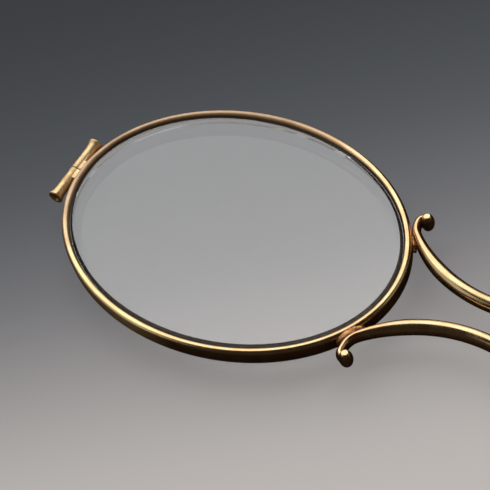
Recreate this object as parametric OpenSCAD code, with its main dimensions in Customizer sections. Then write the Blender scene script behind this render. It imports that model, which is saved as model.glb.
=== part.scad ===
// Lorgnette: a pair of oval lenses in gold rims, joined by two C-scroll wires,
// with a closing barrel at one side and a fold-over handle at the other.
// X runs from the free lens to the handle, Y is up on the wearer's face, Z is out of the lenses.

/* [Rims] */
// Length of a rim, along the middle of its wire
oval_l = 39.0; // [34:0.5:44]
// Height of a rim, along the middle of its wire
oval_h = 29.6; // [26:0.4:33]
// Width of the rim wire, seen from the front
rim_w = 0.85; // [0.75:0.05:1.2]
// Depth of the rim wire, front to back
rim_t = 2.05; // [1.8:0.05:2.4]
// Radius of the rim wire's corners
rim_round = 0.33; // [0.2:0.01:0.35]
// Depth of the groove that holds the lens
groove_d = 0.32; // [0.2:0.02:0.4]
// Width of the groove at its mouth
groove_w = 0.94; // [0.8:0.02:1.1]
// Saw cut through the rim at its closing joint
split_w = 0.1; // [0.06:0.01:0.3]

/* [Lenses] */
// Thickness of a lens at its middle
lens_t = 2.5; // [2.3:0.1:2.7]
// Thickness of a lens at its edge
lens_edge_t = 2.8; // [2.8:0.1:3.2]
// How far the lenses' front faces lie below the front of the rims
lens_sink = 0.18; // [0.1:0.02:0.3]
// Width of the polished bevels round a lens
lens_bevel = 0.32; // [0.2:0.02:0.4]
// Height of the bevel round a lens's back face
back_bevel = 0.2; // [0.1:0.05:0.4]
// Play between a lens and its groove
lens_fit = 0.03; // [0.01:0.01:0.06]

/* [Bridge scrolls] */
// Radius of a scroll's long sweep
sweep_r = 15.0; // [13:0.5:17]
// Angle that the long sweep turns through, from the waist out
sweep_turn = 46; // [42:1:50]
// Radius of the bend before the curl
neck_r = 2.3; // [2.1:0.1:2.9]
// Radius of the curl
curl_r = 0.5; // [0.48:0.02:0.7]
// Angle that the curl turns through, up to the middle of the ball
curl_turn = 125; // [100:5:160]
// Straight run before the upper scroll's curl
upper_run = 0.05; // [0.05:0.05:0.8]
// Straight run before the lower scroll's curl
lower_run = 0.7; // [0.05:0.05:0.9]
// Half of the space between the two scrolls' centre lines at the waist
waist_half = 2.0; // [1.7:0.1:2.6]
// Half width of the scroll wire at the waist
wire_w = 0.80; // [0.7:0.02:0.95]
// Half depth of the scroll wire at the waist, front to back
wire_t = 0.84; // [0.7:0.02:0.95]
// Half width of the scroll wire in the curl
tip_w = 0.46; // [0.36:0.02:0.46]
// Radius of the ball at the tip, seen from the front
ball_r = 0.72; // [0.6:0.02:0.8]
// Half depth of the ball at the tip
ball_t = 1.1; // [0.9:0.05:1.3]
// How far the scrolls lie in front of the middle of the rims
scroll_lift = 0.3; // [0:0.05:0.4]
// Thickness of the solder film where a scroll meets a rim
solder_film = 0.03; // [0.01:0.01:0.1]
// Half depth of the solder, front to back
solder_t = 0.55; // [0.3:0.05:0.6]

/* [Closing barrel] */
// Length of the closing barrel
barrel_l = 8.4; // [7:0.2:10]
// Radius of the barrel tubes
barrel_r = 0.64; // [0.54:0.02:0.7]
// Radius of the flared mouths
flare_r = 0.88; // [0.74:0.01:0.95]
// Length of each flare
flare_l = 1.3; // [0.8:0.1:1.8]
// Length of the soldered foot, both halves together
foot_l = 2.6; // [1.6:0.1:3.2]
// Gap between the barrel and the rim, filled by the foot
foot_h = 0.3; // [0.25:0.01:0.8]
// Radius of the closing screw's shank
closing_screw_r = 0.28; // [0.22:0.01:0.32]

/* [Handle joint] */
// Radius of the joint's knuckles
knuckle_r = 1.1; // [1.0:0.05:1.4]
// Length of the handle's knuckle
knuckle_mid_l = 3.0; // [2.4:0.2:4.0]
// Length of each rim knuckle
knuckle_side_l = 2.1; // [1.6:0.1:2.8]
// Height of the joint's pin above the middle of the rims
joint_rise = 1.7; // [1.6:0.1:2.2]
// Radius of the joint's screw
joint_screw_r = 0.5; // [0.4:0.02:0.6]
// Gap between the knuckles' faces, and between the knuckle and the rim
joint_gap = 0.12; // [0.08:0.01:0.2]
// Radial play of the screw in the handle's knuckle
joint_play = 0.04; // [0.02:0.01:0.08]
// How far the handle's axis lies behind the middle of the rims
handle_drop = 0.6; // [0.4:0.1:1.0]

/* [Handle] */
// Length of the stem tube
stem_l = 72; // [60:1:84]
// Outer radius of the stem tube
stem_r = 1.8; // [1.7:0.05:2.0]
// Wall of the stem tube
stem_wall = 0.4; // [0.3:0.05:0.5]
// Length of the turned neck, from its front face to the tube
neck_l = 11.4; // [10:0.2:14]
// Width of the tang, from side to side
tang_w = 2.0; // [1.6:0.1:2.2]
// Thickness of the tang
tang_t = 1.3; // [1.0:0.1:1.5]
// Length of the tang inside the neck
tang_l = 6.0; // [5:0.5:8]
// Radius of the rivet through the neck and tang
rivet_r = 0.45; // [0.35:0.05:0.55]
// Length of a ferrule
ferrule_l = 3.6; // [3:0.2:5]
// Radius over a ferrule's middle bead
ferrule_r = 2.3; // [2.25:0.05:2.6]
// Length of the turned finial, from the tube to its end
finial_l = 16.5; // [14:0.5:20]
// Radius of the finial's knop
knop_r = 2.2; // [2.0:0.05:2.3]

/* [Ring and eye] */
// Radius of the eye's lug
lug_r = 1.5; // [1.4:0.1:1.8]
// Thickness of the eye's lug
lug_t = 1.2; // [1.0:0.1:1.5]
// Radius of the hole in the eye
eye_r = 0.78; // [0.74:0.02:0.9]
// Radius of the ring, to the middle of its wire
ring_r = 4.3; // [3.9:0.1:5.5]
// Radius of the ring's wire
ring_wire_r = 0.5; // [0.4:0.02:0.55]

/* [Hidden] */
$fn = 48;

gold = "goldenrod";
pale_gold = "khaki";

// Half axes of the oval at the rim's outer wall, its inner wall and the bottom of its groove
out_a = oval_l / 2 + rim_w / 2;
out_b = oval_h / 2 + rim_w / 2;
in_a = oval_l / 2 - rim_w / 2;
in_b = oval_h / 2 - rim_w / 2;

// Scroll centre line, in a frame with the waist's middle at the origin and the rim towards -X.
// It is given by its length from the waist: [x, y, heading angle], all turning one way.
neck_turn = 90 - sweep_turn;
sweep_len = sweep_r * sweep_turn * PI / 180;
neck_len = neck_r * neck_turn * PI / 180;
curl_len = curl_r * curl_turn * PI / 180;
sweep_c = [0, waist_half + sweep_r];
neck_c = sweep_c - (sweep_r - neck_r) * [sin(sweep_turn), cos(sweep_turn)];
function on_arc(c, r, a) = [c[0] - r * sin(a), c[1] - r * cos(a), a];
function scroll_at(s, run) =
    s <= sweep_len ? on_arc(sweep_c, sweep_r, s / sweep_r * 180 / PI) :
    s <= sweep_len + neck_len ? on_arc(neck_c, neck_r, sweep_turn + (s - sweep_len) / neck_r * 180 / PI) :
    s <= sweep_len + neck_len + run ? [neck_c[0] - neck_r, neck_c[1] + s - sweep_len - neck_len, 90] :
    on_arc([neck_c[0] - neck_r + curl_r, neck_c[1] + run], curl_r,
        90 + (s - sweep_len - neck_len - run) / curl_r * 180 / PI);
function scroll_len(run) = sweep_len + neck_len + run + curl_len;

// Half width and half depth of the scroll wire at a distance e from its tip, which the ball hides
tip_t = wire_t * 0.93;
tip_cap = 0.3;
taper_to = 8.5;
function ease(t) = let(u = min(1, max(0, t))) u * u * (3 - 2 * u);
function taper(e, tip, full) = tip + (full - tip) * ease((e - curl_len) / (taper_to - curl_len));
function wire_half(e, run, tip, full) =
    taper(e - run, tip, full) * sqrt(1 - pow(1 - min(1, max(0, e / tip_cap)), 2));
function half_w(e, run) = wire_half(e, run, tip_w, wire_w);
function half_t(e, run) = wire_half(e, run, tip_t, wire_t);

// The scroll's neck rests on the rim where the two walls face each other: seat_a is the direction
// of that contact, and the waist's distance from the lens's middle follows from it.
function oval_at(a) = let(d = sqrt(pow(out_a * sin(a), 2) + pow(out_b * cos(a), 2)))
    [out_a * out_a * sin(a) / d, out_b * out_b * cos(a) / d];
seat_w = half_w(neck_len / 2 + curl_len, 0) + solder_film;
function seat_miss(a) = neck_c[1] - (neck_r + seat_w) * cos(a) - oval_at(a)[1];
function seat_solve(lo, hi, n) = n == 0 ? (lo + hi) / 2 :
    let(m = (lo + hi) / 2) seat_miss(m) > 0 ? seat_solve(lo, m, n - 1) : seat_solve(m, hi, n - 1);
seat_a = seat_solve(sweep_turn - 20, 89, 40);
waist_x = oval_at(seat_a)[0] + (neck_r + seat_w) * sin(seat_a) - neck_c[0];
lens_pitch = 2 * waist_x;

// Joint and handle, measured from the middle of the free lens
barrel_x = -(out_a + foot_h + barrel_r);
joint_x = lens_pitch + out_a + joint_gap * 2 + knuckle_r;
neck_x = joint_x + knuckle_r + 1.5;
tube_x = neck_x + neck_l;
finial_x = tube_x + stem_l;
eye_flange_t = 0.4;
lug_x = finial_x + finial_l + eye_flange_t + lug_r - 0.3;
handle_z = -handle_drop;
// The ring droops until its far side lies on the surface that the ferrules rest on
ring_droop = asin((ferrule_r - ring_wire_r) / (2 * ring_r));

// The part's own frame: its box stands on z = 0, centred on x = 0
min_x = barrel_x - flare_r;
max_x = lug_x + 2 * ring_r * cos(ring_droop) + ring_wire_r;
mid_x = (min_x + max_x) / 2;
mid_z = ferrule_r + handle_drop;

module place() {
    translate([-mid_x, 0, mid_z]) children();
}

module oval_turn(a, b) {
    scale([1, b / a, 1]) rotate_extrude($fn = 180) children();
}

// Solid disc with the outline and the rounded edge of a rim
module rim_blank() {
    r = rim_round;
    oval_turn(out_a, out_b) {
        translate([0, -rim_t / 2 + r]) square([out_a, rim_t - 2 * r]);
        translate([0, -rim_t / 2]) square([out_a - r, rim_t]);
        for (s = [-1, 1]) translate([out_a - r, s * (rim_t / 2 - r)]) circle(r);
    }
}

// What is cut out of the disc: the opening with its groove and its rounded front and back edges
module rim_opening() {
    r = rim_round;
    oval_turn(in_a, in_b) {
        polygon([[0, -rim_t], [in_a, -rim_t], [in_a, -groove_w / 2], [in_a + groove_d, 0],
            [in_a, groove_w / 2], [in_a, rim_t], [0, rim_t]]);
        for (s = [0, 1]) mirror([0, s]) difference() {
            translate([in_a - r / 2, rim_t / 2 - r]) square([1.5 * r, 2 * r]);
            translate([in_a + r, rim_t / 2 - r]) circle(r);
        }
    }
}

module rim(side) {
    color(gold) difference() {
        rim_blank();
        rim_opening();
        translate([side * oval_l / 2, 0, 0]) cube([4 * rim_w, split_w, 2 * rim_t], center = true);
    }
}

// A glass with a flat front and a hollow back, bevelled round its oval edge to sit in the groove
module lens() {
    c = lens_fit;
    e = in_a - 2 * c;
    half = groove_w / 2 - c;
    front = rim_t / 2 - lens_sink;
    back = front - lens_edge_t;
    hollow = lens_edge_t - lens_t;
    hollow_r = (in_a * in_a + hollow * hollow) / (2 * hollow);
    color("lightcyan", 0.45) difference() {
        oval_turn(in_a, in_b) polygon([[0, front], [e - lens_bevel, front], [e, half], [in_a + groove_d - 2 * c, 0],
            [e, -half], [e, back + back_bevel], [e - lens_bevel, back], [0, back]]);
        translate([0, 0, back + hollow - hollow_r]) sphere(hollow_r, $fn = 300);
    }
}

// Lengths along one half of a scroll at which its rings stand, closer in the bends
function ring_stops(run) = let(n1 = 14, n2 = 8, n3 = 9, s0 = sweep_len + neck_len + run,
    body = scroll_len(run) - tip_cap)
    concat([for (i = [0:n1 - 1]) sweep_len * i / n1],
        [for (i = [0:n2 - 1]) sweep_len + (neck_len + run) * i / n2],
        [for (i = [0:n3]) s0 + (body - s0) * i / n3], [body + tip_cap * 0.6]);

ring_sides = 16;
function wire_ring(s, run, flip) = let(p = scroll_at(s, run), e = scroll_len(run) - s,
    w = half_w(e, run), t = half_t(e, run), n = [sin(p[2]), cos(p[2])])
    [for (k = [0:ring_sides - 1]) let(q = 360 * k / ring_sides)
        [flip * (p[0] + w * cos(q) * n[0]), p[1] + w * cos(q) * n[1], t * sin(q)]];

// Ball worked on the end of the wire
module tip_ball() {
    rotate_extrude() polygon([for (i = [-6:6]) [ball_r * cos(i * 15), ball_t * sin(i * 15)]]);
}

// A whole scroll, from ball to ball, swept along its centre line
module scroll(run) {
    stops = ring_stops(run);
    last = len(stops) - 1;
    rings = concat([for (i = [0:last]) wire_ring(stops[last - i], run, 1)],
        [for (i = [1:last]) wire_ring(stops[i], run, -1)]);
    tip = scroll_at(scroll_len(run), run);
    count = len(rings);
    points = concat([for (r = rings, p = r) p], [[tip[0], tip[1], 0], [-tip[0], tip[1], 0]]);
    m = ring_sides;
    for (s = [-1, 1]) translate([s * tip[0], tip[1], 0]) tip_ball();
    polyhedron(points, concat(
        [for (i = [0:count - 2], k = [0:m - 1]) [i * m + k, (i + 1) * m + (k + 1) % m, i * m + (k + 1) % m]],
        [for (i = [0:count - 2], k = [0:m - 1]) [i * m + k, (i + 1) * m + k, (i + 1) * m + (k + 1) % m]],
        [for (k = [0:m - 1]) [count * m, k, (k + 1) % m]],
        [for (k = [0:m - 1]) [count * m + 1, (count - 1) * m + (k + 1) % m, (count - 1) * m + k]]));
}

module bridge_scroll(up, run) {
    color(gold) translate([waist_x, 0, scroll_lift]) mirror([0, up ? 0 : 1, 0]) scroll(run);
}

// Solder wedged between a scroll and a rim, to both sides of their contact
module solder_seat(run) {
    full = scroll_len(run);
    s0 = sweep_len * 0.84;
    s1 = sweep_len + neck_len * 0.86;
    n = 10;
    edge = [for (i = [0:n]) let(s = s0 + (s1 - s0) * i / n, p = scroll_at(s, run), w = half_w(full - s, run))
        [p[0] - w * sin(p[2]), p[1] - w * cos(p[2])]];
    wall = [for (i = [0:n]) let(p = edge[n - i]) [p[0] - rim_w * 1.2, p[1] - rim_w * 0.9]];
    difference() {
        translate([waist_x, 0, scroll_lift - solder_t]) linear_extrude(2 * solder_t) polygon(concat(edge, wall));
        rim_blank();
    }
}

module bridge_solder() {
    color("peru") for (far = [0, 1], low = [0, 1])
        translate([far * lens_pitch, 0, 0]) mirror([far, 0, 0]) mirror([0, low, 0])
            solder_seat(low == 1 ? lower_run : upper_run);
}

closing_head_r = closing_screw_r + 0.18;
closing_head_t = 0.5;
closing_recess = 0.12;
screw_fit = 0.02;

module closing_tube(up) {
    half = barrel_l / 2;
    foot = foot_l / 2;
    bore = closing_screw_r + screw_fit;
    color(pale_gold) mirror([0, up ? 0 : 1, 0]) difference() {
        union() {
            translate([barrel_x, 0, 0]) rotate([-90, 0, 0]) rotate_extrude()
                polygon([[0, split_w / 2], [barrel_r, split_w / 2], [barrel_r, half - flare_l],
                    [barrel_r + (flare_r - barrel_r) * 0.3, half - flare_l * 0.45], [flare_r, half - 0.12],
                    [flare_r - 0.08, half], [0, half]]);
            translate([barrel_x, split_w / 2, -rim_t / 4])
                cube([-barrel_x - out_a * 0.97, foot - split_w / 2, rim_t / 2]);
        }
        rim_blank();
        translate([barrel_x, 0, 0]) rotate([-90, 0, 0]) cylinder(r = bore, h = half + 1);
        translate([barrel_x, half - (up ? closing_head_t + closing_recess : closing_recess), 0])
            rotate([-90, 0, 0]) cylinder(r = closing_head_r + screw_fit, h = half);
    }
}

// A cheese-head screw along Y with its head towards +Y: its head's top face is at y = 0
module slotted_screw(shank_r, head_r, head_t, length) {
    rotate([90, 0, 0]) difference() {
        union() {
            cylinder(r = head_r, h = head_t);
            translate([0, 0, head_t / 2]) cylinder(r = shank_r, h = length - head_t / 2);
        }
        translate([-head_r - 1, -head_r * 0.16, -1]) cube([2 * head_r + 2, head_r * 0.32, 1 + head_t * 0.45]);
    }
}

module left_closing_screw() {
    color(pale_gold) translate([barrel_x, barrel_l / 2 - closing_recess, 0])
        slotted_screw(closing_screw_r, closing_head_r, closing_head_t - screw_fit, barrel_l - 2.2 * closing_recess);
}

joint_side_y = knuckle_mid_l / 2 + joint_gap;
joint_end_y = joint_side_y + knuckle_side_l;
joint_head_r = joint_screw_r + 0.28;
joint_head_t = 0.7;

// Knuckle soldered to one end of the split rim, with the web that carries it
module rim_knuckle(up) {
    low = -joint_rise - rim_t * 0.3;
    color(gold) mirror([0, up ? 0 : 1, 0]) difference() {
        union() {
            translate([joint_x, joint_side_y, joint_rise]) rotate([-90, 0, 0]) cylinder(r = knuckle_r, h = knuckle_side_l);
            translate([joint_x, joint_end_y, joint_rise]) rotate([90, 0, 0]) linear_extrude(knuckle_side_l)
                polygon([[0, 0], [-knuckle_r, 0], [-knuckle_r - 1.4, -joint_rise + rim_t * 0.3],
                    [-knuckle_r - 1.4, low], [-knuckle_r * 0.5, low], [knuckle_r * 0.75, -knuckle_r * 0.66]]);
        }
        translate([lens_pitch, 0, 0]) rim_blank();
        translate([joint_x, 0, joint_rise]) rotate([-90, 0, 0]) cylinder(r = joint_screw_r + screw_fit, h = joint_end_y + 1);
        if (up) translate([joint_x, joint_end_y - joint_head_t, joint_rise]) rotate([-90, 0, 0])
            cylinder(r = joint_head_r + screw_fit, h = joint_head_t + 1);
    }
}

module hinge_screw() {
    color(pale_gold) translate([joint_x, joint_end_y - 0.1, joint_rise])
        slotted_screw(joint_screw_r, joint_head_r, joint_head_t - 0.1 - screw_fit, 2 * joint_end_y - 0.1);
}

// The handle's own knuckle, the heel that stops it against the rim, its cranked shoulder and the
// tang that enters the neck
module handle_knuckle() {
    y = knuckle_mid_l / 2;
    drop = joint_rise + handle_drop;
    reach = neck_x - joint_x;
    heel = -knuckle_r - joint_gap;
    heel_t = rim_t - 2 * rim_round;
    color(gold) difference() {
        union() {
            translate([joint_x, -y, joint_rise]) rotate([-90, 0, 0]) cylinder(r = knuckle_r, h = 2 * y);
            translate([joint_x, y, joint_rise]) rotate([90, 0, 0]) linear_extrude(2 * y) {
                polygon([[0, knuckle_r], [knuckle_r * 0.5, knuckle_r * 0.86], [reach, -drop + stem_r * 0.9],
                    [reach, -drop - tang_t / 2], [knuckle_r, -drop - tang_t / 2], [heel, -joint_rise - heel_t / 2],
                    [heel, -joint_rise + heel_t / 2], [-knuckle_r * 0.8, -knuckle_r * 0.6], [0, 0]]);
            }
            translate([neck_x - 0.5, -tang_w / 2, handle_z - tang_t / 2]) cube([tang_l + 0.5, tang_w, tang_t]);
        }
        translate([joint_x, 0, joint_rise]) rotate([-90, 0, 0])
            cylinder(r = joint_screw_r + joint_play, h = 4 * y, center = true);
        translate([rivet_x, 0, handle_z]) cylinder(r = rivet_r + screw_fit, h = 4 * tang_t, center = true);
    }
}

seat_fit = 0.02;
ferrule_seat_r = stem_r - 0.05;
rivet_x = neck_x + tang_l * 0.55;
spigot_r = stem_r - stem_wall - seat_fit;
spigot_l = 4.5;

// Turns a profile of [distance along the handle, radius] about the handle's axis
module turned(x, profile) {
    translate([x, 0, handle_z]) rotate([0, 90, 0]) rotate_extrude()
        polygon(concat([[0, profile[0][0]]], [for (p = profile) [p[1], p[0]]], [[0, profile[len(profile) - 1][0]]]));
}

module handle_neck() {
    r = ferrule_seat_r;
    color(gold) difference() {
        turned(neck_x, [[0, 1.72], [0.25, 1.95], [1.0, 2.05], [1.75, 1.95], [2.0, 1.7], [3.2, 1.58], [6.2, 1.46],
            [neck_l - 3.2, 1.4], [neck_l - 2.4, 1.5], [neck_l - ferrule_l / 2, r], [neck_l, r], [neck_l, spigot_r],
            [neck_l + spigot_l, spigot_r]]);
        translate([neck_x - 1, -tang_w / 2 - seat_fit, handle_z - tang_t / 2 - seat_fit])
            cube([tang_l + 1 + seat_fit, tang_w + 2 * seat_fit, tang_t + 2 * seat_fit]);
        translate([rivet_x, 0, handle_z]) cylinder(r = rivet_r + screw_fit, h = 6, center = true);
    }
}

module neck_rivet() {
    color(pale_gold) translate([rivet_x, 0, handle_z]) cylinder(r = rivet_r, h = 2.96, center = true);
}

module stem_tube() {
    color(gold) translate([tube_x, 0, handle_z]) rotate([0, 90, 0]) difference() {
        union() {
            cylinder(r = ferrule_seat_r, h = stem_l);
            translate([0, 0, ferrule_l / 2]) cylinder(r = stem_r, h = stem_l - ferrule_l);
        }
        translate([0, 0, -1]) cylinder(r = stem_r - stem_wall, h = stem_l + 2);
    }
}

// Beaded band over the joint between the tube and what is turned to meet it
module ferrule(x) {
    l = ferrule_l;
    rim_r = ferrule_r - 0.28;
    color(gold) translate([x - l / 2, 0, handle_z]) rotate([0, 90, 0]) difference() {
        rotate_extrude() {
            square([stem_r + 0.12, l]);
            translate([stem_r, l / 2]) circle(ferrule_r - stem_r);
            for (s = [0, 1]) translate([0, s * (l - 0.5)]) square([rim_r, 0.5]);
        }
        translate([0, 0, -1]) cylinder(r = ferrule_seat_r + seat_fit, h = l + 2);
    }
}

module handle_finial() {
    k = knop_r;
    l = finial_l;
    r = ferrule_seat_r;
    color(gold) difference() {
        turned(finial_x, [[-spigot_l, spigot_r], [0, spigot_r], [0, r], [ferrule_l / 2, r], [2.4, 1.5], [3.2, 1.2],
            [4.4, 1.15], [5.0, 1.7], [5.5, 1.85], [6.0, 1.7], [6.5, 1.3], [7.2, 1.7], [8.2, k * 0.93], [9.2, k],
            [10.4, k * 0.97], [11.8, k * 0.84], [l - 2.9, 1.35], [l - 1.6, 1.1], [l - 0.5, 1.2], [l, 1.1]]);
        translate([finial_x + l - 3, 0, handle_z]) rotate([0, 90, 0]) cylinder(r = 0.45 + screw_fit, h = 4);
    }
}

module ring_eye() {
    x = finial_x + finial_l;
    color(pale_gold) difference() {
        union() {
            translate([x - 2.8, 0, handle_z]) rotate([0, 90, 0]) cylinder(r = 0.45, h = 3);
            translate([x, 0, handle_z]) rotate([0, 90, 0]) cylinder(r = 0.95, h = eye_flange_t);
            translate([lug_x, 0, handle_z]) rotate([90, 0, 0]) cylinder(r = lug_r, h = lug_t, center = true);
        }
        translate([lug_x, 0, handle_z]) rotate([90, 0, 0]) cylinder(r = eye_r, h = 4, center = true);
    }
}

module suspension_ring() {
    color(gold) translate([lug_x, 0, handle_z]) rotate([0, ring_droop, 0]) translate([ring_r, 0, 0])
        rotate_extrude() translate([ring_r, 0]) circle(ring_wire_r);
}

place() rim(-1);  // left_rim
place() translate([lens_pitch, 0, 0]) rim(1);  // right_rim
place() lens();  // left_lens
place() translate([lens_pitch, 0, 0]) lens();  // right_lens
place() bridge_scroll(true, upper_run);  // upper_bridge_scroll
place() bridge_scroll(false, lower_run);  // lower_bridge_scroll
place() bridge_solder();
place() closing_tube(true);  // left_upper_closing_tube
place() closing_tube(false);  // left_lower_closing_tube
place() left_closing_screw();
place() rim_knuckle(true);  // right_upper_knuckle
place() rim_knuckle(false);  // right_lower_knuckle
place() hinge_screw();
place() handle_knuckle();
place() handle_neck();
place() neck_rivet();
place() ferrule(tube_x);  // front_ferrule
place() stem_tube();
place() ferrule(finial_x);  // rear_ferrule
place() handle_finial();
place() ring_eye();
place() suspension_ring();
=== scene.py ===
import bpy, math
from mathutils import Vector, Matrix


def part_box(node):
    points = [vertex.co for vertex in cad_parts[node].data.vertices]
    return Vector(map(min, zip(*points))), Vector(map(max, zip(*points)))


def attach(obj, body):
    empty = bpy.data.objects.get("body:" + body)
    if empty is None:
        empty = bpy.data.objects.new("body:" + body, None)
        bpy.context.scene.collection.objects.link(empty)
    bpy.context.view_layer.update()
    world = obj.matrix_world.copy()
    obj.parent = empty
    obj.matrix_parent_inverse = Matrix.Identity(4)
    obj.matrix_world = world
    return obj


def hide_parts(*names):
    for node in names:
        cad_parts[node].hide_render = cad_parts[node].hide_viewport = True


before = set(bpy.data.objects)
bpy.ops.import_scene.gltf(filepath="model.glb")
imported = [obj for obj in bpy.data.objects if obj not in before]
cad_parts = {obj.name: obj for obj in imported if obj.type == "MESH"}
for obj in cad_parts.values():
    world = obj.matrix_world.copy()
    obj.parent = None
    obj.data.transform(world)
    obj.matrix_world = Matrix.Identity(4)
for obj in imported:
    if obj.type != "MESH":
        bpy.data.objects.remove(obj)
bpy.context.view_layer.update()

# All lengths below are millimetres on the lorgnette; the scene is in metres.
MM = 0.001
left_lo, left_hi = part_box("left_lens")
right_lo, right_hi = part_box("right_lens")
rim_lo, rim_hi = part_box("left_rim")
LEFT_X = (left_lo.x + left_hi.x) / 2 / MM
RIGHT_X = (right_lo.x + right_hi.x) / 2 / MM
RIM_Z = (rim_lo.z + rim_hi.z) / 2 / MM

# The oval that runs along the middle of the rim wire, and the wire's section
OVAL_A, OVAL_B, OVAL_STEPS = 19.5, 14.8, 288
WIRE_WIDE, WIRE_DEEP, WIRE_ROUND = 0.85, 2.05, 0.40
GROOVE_IN, GROOVE_WIDE, SAW_HALF = 0.32, 0.94, 0.05
# The lens: how far its front lies under the rim's top, its edge, and its bevels
LENS_SINK, LENS_THICK, LENS_HOLLOW, LENS_FIT = 0.18, 2.6, 0.3, 0.03
BEVEL_WIDE, BACK_BEVEL = 0.32, 0.2
HOLLOW_RINGS = (0.97, 0.9, 0.8, 0.68, 0.55, 0.4, 0.25, 0.1)


def spot(x, y, z):
    return Vector((x * MM, y * MM, z * MM))


# The photograph's focal length and width in pixels, and the camera's film width in millimetres
FOCAL_PX, PHOTO_PX, FILM_WIDE = 1387.83, 490, 36


def photo_camera():
    """The photograph's view: 102 mm lens, seen from above the near right side of the free lens."""
    crest = spot(LEFT_X, 0, RIM_Z + WIRE_DEEP / 2)
    forward = Vector((-0.4245422, 0.43742397, -0.7927321))
    up = Vector((-0.32015035, 0.74646424, 0.583348))
    right = forward.cross(up)
    data = bpy.data.cameras.new("photo_camera")
    data.sensor_width = FILM_WIDE
    data.lens = FOCAL_PX / PHOTO_PX * FILM_WIDE
    data.clip_start, data.clip_end = 0.005, 20
    cam = bpy.data.objects.new("photo_camera", data)
    bpy.context.collection.objects.link(cam)
    turn = Matrix((right, up, -forward)).transposed()
    cam.matrix_world = Matrix.Translation(crest + spot(64.226, -65.041, 114.509)) @ turn.to_4x4()
    bpy.context.scene.camera = cam


photo_camera()


# Hand tools: each works on the piece that is being made, in edit mode.

# How near two points are joined, in a piece and in a CAD mesh, and the degrees up to which a CAD edge is flat
JOIN, CAD_JOIN, CAD_FLAT = 0.0004, 0.0005, 1.2


def clear_bench():
    if bpy.context.object and bpy.context.object.mode != "OBJECT":
        bpy.ops.object.mode_set(mode="OBJECT")
    bpy.ops.object.select_all(action="DESELECT")


def on_bench(name):
    """Takes the primitive just added, puts its place into its mesh and opens it for shaping."""
    piece = bpy.context.object
    piece.name = name
    piece.data.name = name
    bpy.ops.object.transform_apply(location=True, rotation=True, scale=True)
    bpy.ops.object.mode_set(mode="EDIT")
    bpy.ops.mesh.select_mode(type="VERT")
    bpy.ops.mesh.select_all(action="SELECT")
    return piece


def draw_ring(step, scale, centre):
    """Draws the open ring out by a step, then resizes it about its new centre."""
    bpy.ops.mesh.extrude_region_move(TRANSFORM_OT_translate={"value": step})
    bpy.ops.transform.resize(value=scale, center_override=centre)


def pick(piece, wanted, kind="FACE"):
    """Selects the faces or edges whose centre wanted() says; the piece is left in edit mode."""
    bpy.ops.object.mode_set(mode="EDIT")
    bpy.ops.mesh.select_mode(type=kind)
    bpy.ops.mesh.select_all(action="DESELECT")
    bpy.ops.object.mode_set(mode="OBJECT")
    mesh = piece.data
    if kind == "FACE":
        for f in mesh.polygons:
            f.select = wanted(f.center / MM)
    else:
        for e in mesh.edges:
            a, b = (mesh.vertices[k].co for k in e.vertices)
            e.select = wanted((a + b) / 2 / MM)
    bpy.ops.object.mode_set(mode="EDIT")


def close_up(piece, smooth):
    """Joins doubles, turns every face outward and smooths what isn't a real edge."""
    bpy.ops.object.mode_set(mode="EDIT")
    bpy.ops.mesh.select_mode(type="VERT")
    bpy.ops.mesh.select_all(action="SELECT")
    bpy.ops.mesh.remove_doubles(threshold=JOIN * MM)
    bpy.ops.mesh.normals_make_consistent(inside=False)
    bpy.ops.object.mode_set(mode="OBJECT")
    bpy.ops.object.select_all(action="DESELECT")
    piece.select_set(True)
    bpy.context.view_layer.objects.active = piece
    bpy.ops.object.shade_smooth_by_angle(angle=math.radians(smooth))


def finish_with(piece, material):
    piece.data.materials.clear()
    piece.data.materials.append(material)


def soften(piece, width, segments=3, angle=28):
    bevel = piece.modifiers.new("worn_edges", "BEVEL")
    bevel.width = width * MM
    bevel.segments = segments
    bevel.limit_method = "ANGLE"
    bevel.angle_limit = math.radians(angle)
    bevel.use_clamp_overlap = True
    bevel.miter_outer = "MITER_ARC"
    bpy.ops.object.modifier_apply(modifier=bevel.name)


# Materials

def wire(tree, a, b):
    tree.links.new(a, b)


def node(tree, kind, **settings):
    n = tree.nodes.new(kind)
    for key, value in settings.items():
        setattr(n, key, value)
    return n


def set_in(n, name, value):
    n.inputs[name].default_value = value


def piece_place(tree, scale=(1, 1, 1), turn=(0, 0, 0), shift=(0, 0, 0)):
    place = node(tree, "ShaderNodeTexCoord")
    grid = node(tree, "ShaderNodeMapping")
    set_in(grid, "Location", shift)
    set_in(grid, "Scale", scale)
    set_in(grid, "Rotation", turn)
    wire(tree, place.outputs["Object"], grid.inputs["Vector"])
    return grid.outputs["Vector"]


def clouds(tree, place, scale, detail, rough):
    n = node(tree, "ShaderNodeTexNoise")
    set_in(n, "Scale", scale)
    set_in(n, "Detail", detail)
    set_in(n, "Roughness", rough)
    wire(tree, place, n.inputs["Vector"])
    return n.outputs["Fac"]


def spread(tree, fac, lo, hi, out_lo=0.0, out_hi=1.0):
    n = node(tree, "ShaderNodeMapRange")
    set_in(n, "From Min", lo)
    set_in(n, "From Max", hi)
    set_in(n, "To Min", out_lo)
    set_in(n, "To Max", out_hi)
    wire(tree, fac, n.inputs["Value"])
    return n.outputs["Result"]


def blend_colours(tree, fac, first, second):
    n = node(tree, "ShaderNodeMix", data_type="RGBA")
    for socket, value in ((n.inputs[6], first), (n.inputs[7], second)):
        if isinstance(value, tuple):
            socket.default_value = (*value, 1)
        else:
            wire(tree, value, socket)
    wire(tree, fac, n.inputs[0])
    return n.outputs[2]


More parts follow.
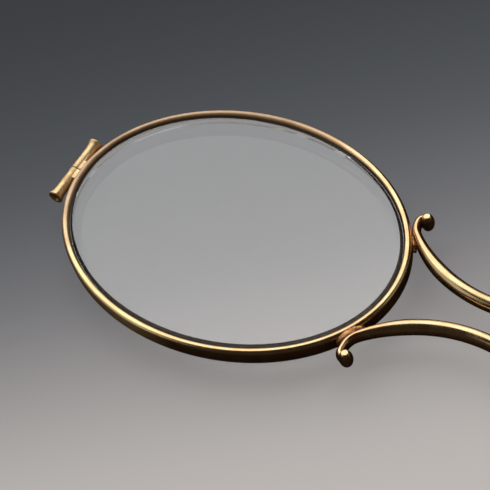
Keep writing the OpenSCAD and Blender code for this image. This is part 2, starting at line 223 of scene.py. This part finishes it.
def sum_of(tree, value, times, more):
    """value x times + more, where more is a number or a socket."""
    n = node(tree, "ShaderNodeMath", operation="MULTIPLY_ADD")
    wire(tree, value, n.inputs[0])
    set_in(n, 1, times)
    if isinstance(more, float):
        set_in(n, 2, more)
    else:
        wire(tree, more, n.inputs[2])
    return n.outputs[0]


def far_from(tree, place, x, y, z):
    n = node(tree, "ShaderNodeVectorMath", operation="DISTANCE")
    wire(tree, place, n.inputs[0])
    set_in(n, 1, tuple(spot(x, y, z)))
    return n.outputs["Value"]


def length_along(tree, place, direction):
    n = node(tree, "ShaderNodeVectorMath", operation="DOT_PRODUCT")
    wire(tree, place, n.inputs[0])
    set_in(n, 1, direction)
    return n.outputs["Value"]


COPPER = (0.56, 0.26, 0.12)
# Each zone of the rims: pale colour, deep colour, added roughness, and how much less metal shows
# Painted dim sheen: the far left rim's tan, less metallic, rougher zone
DIM_SHEEN_ZONE = ((0.62, 0.40, 0.22), (0.46, 0.28, 0.14), 0.26, -0.50)
# Painted sheen: a paler, less metallic zone on the near-left rim
PAINTED_SHEEN_ZONE = ((0.74, 0.55, 0.25), (0.58, 0.41, 0.16), -0.06, -0.30)
FAR_LEFT = (-0.70, 0.71, 0)


def metal_finish(name, pale, deep, rough, grain=0.05, lines=0.03, mottle=320, film=0.7, grit=14000,
                 copper_at=None, dim_sheen_from=None, sheen_at=None):
    """Worn metal, pale and deeper in a random mottling, with fine polishing lines, and zones of painted
    sheen.
    """
    m = bpy.data.materials.new(name)
    m.use_nodes = True
    t = m.node_tree
    skin = t.nodes["Principled BSDF"]
    set_in(skin, "Metallic", 1.0)
    set_in(skin, "Coat Weight", film)
    set_in(skin, "Coat Roughness", rough)
    place = piece_place(t)
    mottling = spread(t, clouds(t, place, mottle, 5, 0.6), 0.36, 0.66)
    colour = blend_colours(t, mottling, pale, deep)
    if copper_at:
        # The colour turns coppery where the torch and the solder have been.
        middle, seat = copper_at
        fold = node(t, "ShaderNodeVectorMath", operation="ABSOLUTE")
        wire(t, piece_place(t, shift=(-middle * MM, 0, 0)), fold.inputs[0])
        near = spread(t, far_from(t, fold.outputs[0], *seat), 0.8 * MM, 4.2 * MM, 0.75, 0.0)
        patch = node(t, "ShaderNodeMath", operation="MULTIPLY")
        wire(t, near, patch.inputs[0])
        wire(t, spread(t, clouds(t, place, 900, 4, 0.6), 0.35, 0.6), patch.inputs[1])
        colour = blend_colours(t, patch.outputs[0], colour, COPPER)
    gloss = spread(t, clouds(t, place, mottle * 2.3, 6, 0.65), 0.3, 0.72, rough * 0.65, rough * 1.6)
    zones = []
    if dim_sheen_from:
        # The rim's far left side is rougher, and is painted tan and less metallic there: a painted dim, soft
        # sheen in place of its highlight.
        start = dim_sheen_from * MM * FAR_LEFT[0]
        far = spread(t, length_along(t, place, FAR_LEFT), start + 1 * MM, start + 12 * MM)
        zones.append((far, *DIM_SHEEN_ZONE))
    if sheen_at:
        # Near the rim's lower left the colour is painted paler and less metallic: a painted wide sheen on the
        # wall there.
        sheen_mask = spread(t, far_from(t, place, *sheen_at), 4 * MM, 9 * MM, 1.0, 0.0)
        zones.append((sheen_mask, *PAINTED_SHEEN_ZONE))
    metal = 1.0
    for zone, zone_pale, zone_deep, more_rough, less_metal in zones:
        colour = blend_colours(t, zone, colour, blend_colours(t, mottling, zone_pale, zone_deep))
        gloss = sum_of(t, zone, more_rough, gloss)
        metal = sum_of(t, zone, less_metal, metal)
    if zones:
        wire(t, metal, skin.inputs["Metallic"])
    wire(t, colour, skin.inputs["Base Color"])
    wire(t, gloss, skin.inputs["Roughness"])
    fine = clouds(t, place, grit, 2, 0.5)
    stroke = clouds(t, piece_place(t, (900, 16000, 9000), (0.3, 0.2, 0.5)), 1.0, 3, 0.6)
    bump = node(t, "ShaderNodeBump")
    set_in(bump, "Strength", 0.5)
    set_in(bump, "Distance", grain * 0.02 * MM)
    wire(t, sum_of(t, stroke, lines / grain, fine), bump.inputs["Height"])
    wire(t, bump.outputs["Normal"], skin.inputs["Normal"])
    return m


def glass_finish(name, clear, tinted, film=0.0):
    """Clear glass. A film on its front carries the reflections, so the glass without one reflects less."""
    m = bpy.data.materials.new(name)
    m.use_nodes = True
    t = m.node_tree
    skin = t.nodes["Principled BSDF"]
    set_in(skin, "Transmission Weight", 1.0)
    set_in(skin, "IOR", 1.52)
    set_in(skin, "Roughness", 0.0)
    set_in(skin, "Coat Weight", film)
    if not film:
        set_in(skin, "Specular Tint", (0.3, 0.3, 0.3, 1))
    colour = blend_colours(t, clouds(t, piece_place(t), 60, 2, 0.5), clear, tinted)
    wire(t, colour, skin.inputs["Base Color"])
    return m


WAIST_X = (LEFT_X + RIGHT_X) / 2
SEAT = (RIGHT_X - WAIST_X - 17.95, 6.70, RIM_Z + 0.2)
CLEAR, TINTED = (0.985, 0.98, 0.97), (0.975, 0.965, 0.95)
GOLD = metal_finish("old_polished_gold", (0.66, 0.475, 0.245), (0.52, 0.34, 0.15), 0.19,
                    copper_at=(WAIST_X, SEAT), dim_sheen_from=LEFT_X, sheen_at=(LEFT_X - 7.0, -14.0, RIM_Z))
PALE = metal_finish("pale_satin_gold", (0.80, 0.58, 0.30), (0.68, 0.47, 0.21), 0.46,
                    grain=0.10, lines=0.06)
SCREW = metal_finish("screw_gold", (0.62, 0.44, 0.23), (0.48, 0.31, 0.14), 0.24)
SOLDER = metal_finish("tarnished_solder", (0.78, 0.42, 0.16), (0.24, 0.09, 0.04), 0.42,
                      grain=6, mottle=1700, film=0, grit=3800)
GLASS = glass_finish("lens_glass", CLEAR, TINTED)
# The bevel's glass is near black: painted shade for the dark band the bevel shows beside the rim.
SHADED_BEVEL_GLASS = glass_finish("painted_shade_bevel", (0.012, 0.010, 0.008), (0.006, 0.005, 0.004))
FRONT_GLASS = glass_finish("lens_front", CLEAR, TINTED, 1.0)


# Rims and lenses

def rim_section():
    """The rim wire's section as [distance out from the oval's line, height], from its outer wall round."""
    w, d, r = WIRE_WIDE / 2, WIRE_DEEP / 2, WIRE_ROUND

    def corner(cx, cz, start):
        turns = [math.radians(start + k * 15) for k in range(7)]
        return [(cx + r * math.cos(a), cz + r * math.sin(a)) for a in turns]

    return (corner(w - r, d - r, 0) + corner(r - w, d - r, 90)
            + [(-w, GROOVE_WIDE / 2), (-w + GROOVE_IN, 0), (-w, -GROOVE_WIDE / 2)]
            + corner(r - w, r - d, 180) + corner(w - r, r - d, 270))


def make_rim(name, x, side):
    clear_bench()
    section = rim_section()
    out, z = section[0]
    centre = spot(x, 0, RIM_Z + z)
    bpy.ops.mesh.primitive_circle_add(vertices=OVAL_STEPS, radius=(OVAL_A + out) * MM, location=centre)
    rim = on_bench(name)
    bpy.ops.transform.resize(value=(1, (OVAL_B + out) / (OVAL_A + out), 1), center_override=centre)
    for new_out, new_z in section[1:]:
        wider, deeper = (OVAL_A + new_out) / (OVAL_A + out), (OVAL_B + new_out) / (OVAL_B + out)
        draw_ring((0, 0, (new_z - z) * MM), (wider, deeper, 1), spot(x, 0, RIM_Z + new_z))
        out, z = new_out, new_z
    bpy.ops.mesh.select_mode(type="EDGE")
    bpy.ops.mesh.select_all(action="DESELECT")
    bpy.ops.mesh.select_non_manifold()
    bpy.ops.mesh.bridge_edge_loops()
    # The saw cut at the rim's closing joint
    for y, way in ((SAW_HALF, 1), (-SAW_HALF, -1)):
        bpy.ops.mesh.select_all(action="SELECT")
        bpy.ops.mesh.bisect(plane_co=spot(x, y, RIM_Z), plane_no=(0, way, 0))
    pick(rim, lambda c: abs(c.y) < SAW_HALF - 0.001 and (c.x - x) * side > 0)
    bpy.ops.mesh.delete(type="FACE")
    for y in (SAW_HALF, -SAW_HALF):
        pick(rim, lambda c: abs(c.y - y) < 0.002 and (c.x - x) * side > 0, "EDGE")
        bpy.ops.mesh.edge_face_add()
    close_up(rim, 40)
    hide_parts(name.replace("_wire", ""))
    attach(rim, "front")
    finish_with(rim, GOLD)


def make_lens(name, x):
    """Flat front, bevels, the ridge in the rim's groove, and a shallow hollow back."""
    clear_bench()
    edge = WIRE_WIDE / 2 + 2 * LENS_FIT
    face = -edge - BEVEL_WIDE
    front = WIRE_DEEP / 2 - LENS_SINK
    back = front - LENS_THICK
    half = GROOVE_WIDE / 2 - LENS_FIT
    section = [(face, front), (-edge, half), (-WIRE_WIDE / 2 + GROOVE_IN - 2 * LENS_FIT, 0), (-edge, -half),
               (-edge, back + BACK_BEVEL), (face, back)]
    rings = [(OVAL_A + out, OVAL_B + out, z) for out, z in section]
    for k in HOLLOW_RINGS:
        rings.append(((OVAL_A + face) * k, (OVAL_B + face) * k, back + LENS_HOLLOW * (1 - k * k)))
    across, down, z = rings[0]
    centre = spot(x, 0, RIM_Z + z)
    bpy.ops.mesh.primitive_circle_add(vertices=OVAL_STEPS, radius=across * MM, location=centre,
                                      fill_type="NGON")
    lens = on_bench(name)
    bpy.ops.transform.resize(value=(1, down / across, 1), center_override=centre)
    for new_across, new_down, new_z in rings[1:]:
        scale = (new_across / across, new_down / down, 1)
        draw_ring((0, 0, (new_z - z) * MM), scale, spot(x, 0, RIM_Z + new_z))
        across, down, z = new_across, new_down, new_z
    close_up(lens, 12)
    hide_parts(name.replace("_glass", ""))
    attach(lens, "front")
    finish_with(lens, GLASS)
    lens.data.materials.append(SHADED_BEVEL_GLASS)
    lens.data.materials.append(FRONT_GLASS)
    # Slot 1 is the front bevel band, painted dark as shade; slot 2 is the front face with its film.
    for slot, low, high in ((1, half * 0.5, front - 0.01), (2, front - 0.01, front + 0.01)):
        pick(lens, lambda c: low < c.z - RIM_Z < high)
        lens.active_material_index = slot
        bpy.ops.object.material_slot_assign()
    bpy.ops.object.mode_set(mode="OBJECT")


# Bridge scrolls

SWEEP_R, SWEEP_TURN, NECK_R = 15.0, 46.0, 2.3
CURL_R, CURL_TURN, UPPER_RUN, LOWER_RUN = 0.5, 125.0, 0.05, 0.7
WAIST_HALF, WIRE_W, WIRE_T, TIP_W = 2.0, 0.80, 0.84, 0.46
BALL_R, BALL_T, SCROLL_LIFT, TAPER_TO = 0.72, 1.1, 0.3, 8.5
# The balls are made a little too tall and then rubbed down.
BALL_STRETCH, BALL_FLAT = 1.12, 0.93
TIP_THIN, SCROLL_STEPS, JIG_STEPS = 0.93, 96, 400
SWEEP_LEN = SWEEP_R * math.radians(SWEEP_TURN)
NECK_LEN = NECK_R * math.radians(90 - SWEEP_TURN)
CURL_LEN = CURL_R * math.radians(CURL_TURN)


def on_arc(cx, cy, r, deg):
    a = math.radians(deg)
    return cx - r * math.sin(a), cy - r * math.cos(a)


def scroll_line(s, run):
    """The scroll's centre line at a length s from the waist, with the rim towards -X."""
    a = math.radians(SWEEP_TURN)
    neck_x = -(SWEEP_R - NECK_R) * math.sin(a)
    neck_y = WAIST_HALF + SWEEP_R - (SWEEP_R - NECK_R) * math.cos(a)
    if s <= SWEEP_LEN:
        return on_arc(0, WAIST_HALF + SWEEP_R, SWEEP_R, math.degrees(s / SWEEP_R))
    if s <= SWEEP_LEN + NECK_LEN:
        return on_arc(neck_x, neck_y, NECK_R, SWEEP_TURN + math.degrees((s - SWEEP_LEN) / NECK_R))
    if s <= SWEEP_LEN + NECK_LEN + run:
        return neck_x - NECK_R, neck_y + s - SWEEP_LEN - NECK_LEN
    return on_arc(neck_x - NECK_R + CURL_R, neck_y + run, CURL_R,
                  90 + math.degrees((s - SWEEP_LEN - NECK_LEN - run) / CURL_R))


def taper(e, tip, full):
    u = min(1, max(0, (e - CURL_LEN) / (TAPER_TO - CURL_LEN)))
    return tip + (full - tip) * u * u * (3 - 2 * u)


def make_scroll(name, up, run):
    """A straight tapered wire, bent along the scroll's line, with a ball worked on each end."""
    clear_bench()
    full = SWEEP_LEN + NECK_LEN + run + CURL_LEN
    stops = [full * (i / SCROLL_STEPS) for i in range(-SCROLL_STEPS, SCROLL_STEPS + 1)]

    def size(s):
        e = full - abs(s)
        return taper(e - run, TIP_W, WIRE_W), taper(e - run, WIRE_T * TIP_THIN, WIRE_T)

    w, t = size(stops[0])
    bpy.ops.mesh.primitive_circle_add(vertices=40, radius=MM, location=(0, 0, 0),
                                      rotation=(0, math.pi / 2, 0))
    scroll = on_bench(name)
    bpy.ops.transform.resize(value=(1, w, t), center_override=(0, 0, 0))
    x = 0.0
    for a, b in zip(stops, stops[1:]):
        w2, t2 = size(b)
        x += b - a
        draw_ring(((b - a) * MM, 0, 0), (1, w2 / w, t2 / t), (x * MM, 0, 0))
        w, t = w2, t2
    bpy.ops.mesh.select_mode(type="EDGE")
    bpy.ops.mesh.select_all(action="DESELECT")
    bpy.ops.mesh.select_non_manifold()
    bpy.ops.mesh.fill_holes(sides=0)
    bpy.ops.object.mode_set(mode="OBJECT")
    # The bending jig
    flip = 1 if up else -1
    jig = bpy.data.curves.new("jig", "CURVE")
    jig.dimensions = "3D"
    jig.twist_mode = "Z_UP"
    line = jig.splines.new("POLY")
    line.points.add(JIG_STEPS)
    for i in range(JIG_STEPS + 1):
        s = full * (2 * i / JIG_STEPS - 1)
        px, py = scroll_line(abs(s), run)
        line.points[i].co = ((px if s < 0 else -px) * MM, flip * py * MM, 0, 1)
    jig_piece = bpy.data.objects.new("jig", jig)
    bpy.context.collection.objects.link(jig_piece)
    bend = scroll.modifiers.new("bend", "CURVE")
    bend.object = jig_piece
    bend.deform_axis = "POS_X"
    bpy.context.view_layer.objects.active = scroll
    bpy.ops.object.modifier_apply(modifier=bend.name)
    bpy.data.objects.remove(jig_piece)
    tip_x, tip_y = scroll_line(full, run)
    balls = []
    for side in (1, -1):
        bpy.ops.object.select_all(action="DESELECT")
        tip = spot(side * tip_x, flip * tip_y, 0)
        bpy.ops.mesh.primitive_uv_sphere_add(segments=40, ring_count=24, radius=BALL_R * MM, location=tip)
        ball = on_bench(name + "_ball")
        bpy.ops.transform.resize(value=(1, 1, BALL_T / BALL_R * BALL_STRETCH), center_override=tip)
        bpy.ops.mesh.bisect(plane_co=(0, 0, BALL_FLAT * BALL_T * MM), plane_no=(0, 0, 1), clear_outer=True)
        bpy.ops.mesh.select_all(action="DESELECT")
        bpy.ops.mesh.select_non_manifold()
        bpy.ops.mesh.edge_face_add()
        bpy.ops.object.mode_set(mode="OBJECT")
        soften(ball, 0.16, 5, 20)
        balls.append(ball)
    bpy.ops.object.select_all(action="DESELECT")
    for o in balls + [scroll]:
        o.select_set(True)
    bpy.context.view_layer.objects.active = scroll
    bpy.ops.object.join()
    bpy.ops.object.mode_set(mode="EDIT")
    bpy.ops.mesh.select_all(action="SELECT")
    bpy.ops.transform.translate(value=spot(WAIST_X, 0, RIM_Z + SCROLL_LIFT))
    close_up(scroll, 60)
    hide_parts(name.replace("_wire", ""))
    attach(scroll, "front")
    finish_with(scroll, GOLD)


# Pieces whose CAD form is right: merged, edges worn round, shaded smooth

def polished_copy(name, cad, body, material, edge):
    clear_bench()
    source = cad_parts[cad]
    piece = bpy.data.objects.new(name, source.data.copy())
    bpy.context.collection.objects.link(piece)
    piece.select_set(True)
    bpy.context.view_layer.objects.active = piece
    bpy.ops.object.mode_set(mode="EDIT")
    bpy.ops.mesh.select_mode(type="VERT")
    bpy.ops.mesh.select_all(action="SELECT")
    bpy.ops.mesh.remove_doubles(threshold=CAD_JOIN * MM)
    bpy.ops.mesh.dissolve_limited(angle_limit=math.radians(CAD_FLAT))
    bpy.ops.object.mode_set(mode="OBJECT")
    if edge:
        soften(piece, edge)
    close_up(piece, 38)
    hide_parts(cad)
    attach(piece, body)
    finish_with(piece, material)


# A seat of solder: its half sizes, how far it sinks, and how far it lies towards the waist
UPPER_SEAT = ((0.36, 1.25, 0.55), 0.30, 0.9)
LOWER_SEAT = ((0.70, 1.65, 0.82), -0.10, 0.0)
SEAT_LEAN, LUMP_WIDE, LUMP_HIGH = 32.7, 0.28, 0.22


def make_solder(name):
    """Four low fillets of solder in the crevices between scrolls and rims."""
    clear_bench()
    parts = []
    for way in (1, -1):
        for up, (size, sink, along) in ((1, UPPER_SEAT), (-1, LOWER_SEAT)):
            bpy.ops.object.select_all(action="DESELECT")
            lean = Matrix.Rotation(way * up * math.radians(SEAT_LEAN), 4, "Z")
            centre = spot(WAIST_X - way * SEAT[0], up * SEAT[1], SEAT[2] - sink)
            centre += lean @ spot(0, -up * along, 0)
            bpy.ops.mesh.primitive_uv_sphere_add(segments=48, ring_count=32, radius=MM, location=centre)
            part = on_bench(name + "_part")
            bpy.ops.transform.resize(value=size, center_override=centre)
            bpy.ops.object.mode_set(mode="OBJECT")
            part.data.transform(Matrix.Translation(centre) @ lean @ Matrix.Translation(-centre))
            parts.append(part)
    bpy.ops.object.select_all(action="DESELECT")
    for o in parts:
        o.select_set(True)
    piece = parts[0]
    piece.name = name
    bpy.context.view_layer.objects.active = piece
    bpy.ops.object.join()
    flow = bpy.data.textures.new("solder_flow", "CLOUDS")
    flow.noise_scale = LUMP_WIDE * MM
    lumps = piece.modifiers.new("lumps", "DISPLACE")
    lumps.texture = flow
    lumps.texture_coords = "GLOBAL"
    lumps.strength = LUMP_HIGH * MM
    bpy.ops.object.modifier_apply(modifier=lumps.name)
    close_up(piece, 60)
    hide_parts("bridge_solder")
    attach(piece, "front")
    finish_with(piece, SOLDER)


make_rim("left_rim_wire", LEFT_X, -1)
make_rim("right_rim_wire", RIGHT_X, 1)
make_lens("left_lens_glass", LEFT_X)
make_lens("right_lens_glass", RIGHT_X)
make_scroll("upper_bridge_scroll_wire", True, UPPER_RUN)
make_scroll("lower_bridge_scroll_wire", False, LOWER_RUN)
make_solder("solder_fillets")
for cad, body, slot, material, edge in (
        ("left_upper_closing_tube", "front", "pale_gold", PALE, 0.05),
        ("left_lower_closing_tube", "front", "pale_gold", PALE, 0.05),
        ("left_closing_screw", "front", "screw_gold", SCREW, 0.02),
        ("right_upper_knuckle", "front", "gold", GOLD, 0.09),
        ("right_lower_knuckle", "front", "gold", GOLD, 0.09),
        ("hinge_screw", "front", "screw_gold", SCREW, 0.05),
        ("handle_knuckle", "handle", "gold", GOLD, 0.09),
        ("handle_neck", "handle", "gold", GOLD, 0.05),
        ("neck_rivet", "handle", "screw_gold", SCREW, 0.05),
        ("front_ferrule", "handle", "gold", GOLD, 0.06),
        ("stem_tube", "handle", "gold", GOLD, 0.05),
        ("rear_ferrule", "handle", "gold", GOLD, 0.06),
        ("handle_finial", "handle", "gold", GOLD, 0.05),
        ("ring_eye", "handle", "screw_gold", SCREW, 0.06),
        ("suspension_ring", "ring", "gold", GOLD, 0)):
    polished_copy(cad + "_finished", cad, body, material, edge)


# The studio

# The sweep's tones, by millimetres towards the near right of the free lens
NEAR_RIGHT = (0.616, -0.788, 0)
SWEEP_TONES = (
    (-300, (0.42, 0.40, 0.39)), (-110, (0.06, 0.062, 0.068)), (-50, (0.034, 0.037, 0.042)),
    (-30, (0.054, 0.058, 0.064)), (-12, (0.08, 0.087, 0.095)), (3, (0.165, 0.165, 0.175)),
    (13, (0.29, 0.276, 0.275)), (22, (0.41, 0.39, 0.375)), (31, (0.485, 0.45, 0.435)),
    (60, (0.50, 0.47, 0.45)))
# How much paler the sweep takes the lights, and the share of it that is its own light
SWEEP_PALE, SWEEP_GLOW = 2.3, 0.75
SWEEP_IN_METAL = (0.038, 0.021, 0.012, 1)


def make_floor():
    clear_bench()
    bpy.ops.mesh.primitive_plane_add(size=6, location=(0, 0, 0))
    floor = bpy.context.object
    floor.name = "floor"
    m = bpy.data.materials.new("floor")
    m.use_nodes = True
    t = m.node_tree
    skin = t.nodes["Principled BSDF"]
    set_in(skin, "Roughness", 0.9)
    set_in(skin, "Specular IOR Level", 0.0)
    place = node(t, "ShaderNodeTexCoord")
    # The sweep is painted dark at the far left and pale at the near right, a painted falloff of light, and
    # pale again well away from the piece.
    first, last = SWEEP_TONES[0][0], SWEEP_TONES[-1][0]
    start = LEFT_X * MM * NEAR_RIGHT[0]
    along = length_along(t, place.outputs["Object"], NEAR_RIGHT)
    ramp = node(t, "ShaderNodeValToRGB")
    ramp.color_ramp.interpolation = "B_SPLINE"
    while len(ramp.color_ramp.elements) < len(SWEEP_TONES):
        ramp.color_ramp.elements.new(0.5)
    for stop, (at, colour) in zip(ramp.color_ramp.elements, SWEEP_TONES):
        stop.position = (at - first) / (last - first)
        stop.color = (*colour, 1)
    wire(t, spread(t, along, start + first * MM, start + last * MM), ramp.inputs["Fac"])
    lit = node(t, "ShaderNodeVectorMath", operation="SCALE")
    wire(t, ramp.outputs["Color"], lit.inputs[0])
    set_in(lit, "Scale", SWEEP_PALE)
    wire(t, lit.outputs[0], skin.inputs["Base Color"])
    glow = node(t, "ShaderNodeEmission")
    wire(t, ramp.outputs["Color"], glow.inputs["Color"])
    even = node(t, "ShaderNodeMixShader")
    set_in(even, 0, SWEEP_GLOW)
    wire(t, skin.outputs[0], even.inputs[1])
    wire(t, glow.outputs[0], even.inputs[2])
    # Metal sees the sweep darker than the eye does, but what is seen through the glass stays as it is.
    dark = node(t, "ShaderNodeBsdfDiffuse")
    set_in(dark, "Color", SWEEP_IN_METAL)
    path = node(t, "ShaderNodeLightPath")
    through = node(t, "ShaderNodeMath", operation="SUBTRACT", use_clamp=True)
    wire(t, path.outputs["Is Glossy Ray"], through.inputs[0])
    wire(t, path.outputs["Is Transmission Ray"], through.inputs[1])
    mix = node(t, "ShaderNodeMixShader")
    wire(t, through.outputs[0], mix.inputs[0])
    wire(t, even.outputs[0], mix.inputs[1])
    wire(t, dark.outputs[0], mix.inputs[2])
    wire(t, mix.outputs[0], t.nodes["Material Output"].inputs["Surface"])
    floor.data.materials.append(m)


def soft_light(name, azimuth, elevation, distance, wide, high, power):
    """An area light seen from the lens at that azimuth (0 is +Y, turning to +X) and elevation."""
    a, e = math.radians(azimuth), math.radians(elevation)
    d = Vector((math.sin(a) * math.cos(e), math.cos(a) * math.cos(e), math.sin(e)))
    data = bpy.data.lights.new(name, "AREA")
    data.shape = "RECTANGLE"
    data.size, data.size_y = wide, high
    data.energy = power
    o = bpy.data.objects.new(name, data)
    bpy.context.collection.objects.link(o)
    o.location = spot(LEFT_X, 0, RIM_Z) + d * distance
    o.rotation_euler = (-d).to_track_quat("-Z", "Y").to_euler()


make_floor()
soft_light("far_softbox", -44, 49, 0.9, 1.1, 0.80, 6.1)
soft_light("low_glow", -44, 14, 0.9, 1.2, 0.42, 1.4)
soft_light("left_window", -112, 38, 0.9, 1.1, 0.62, 1.3)
soft_light("right_fill", 60, 32, 0.9, 0.5, 0.5, 0.27)
world = bpy.data.worlds.new("studio")
bpy.context.scene.world = world
world.use_nodes = True
set_in(world.node_tree.nodes["Background"], "Color", (0.034, 0.027, 0.023, 1))

bpy.context.scene.view_settings.view_transform = "Standard"
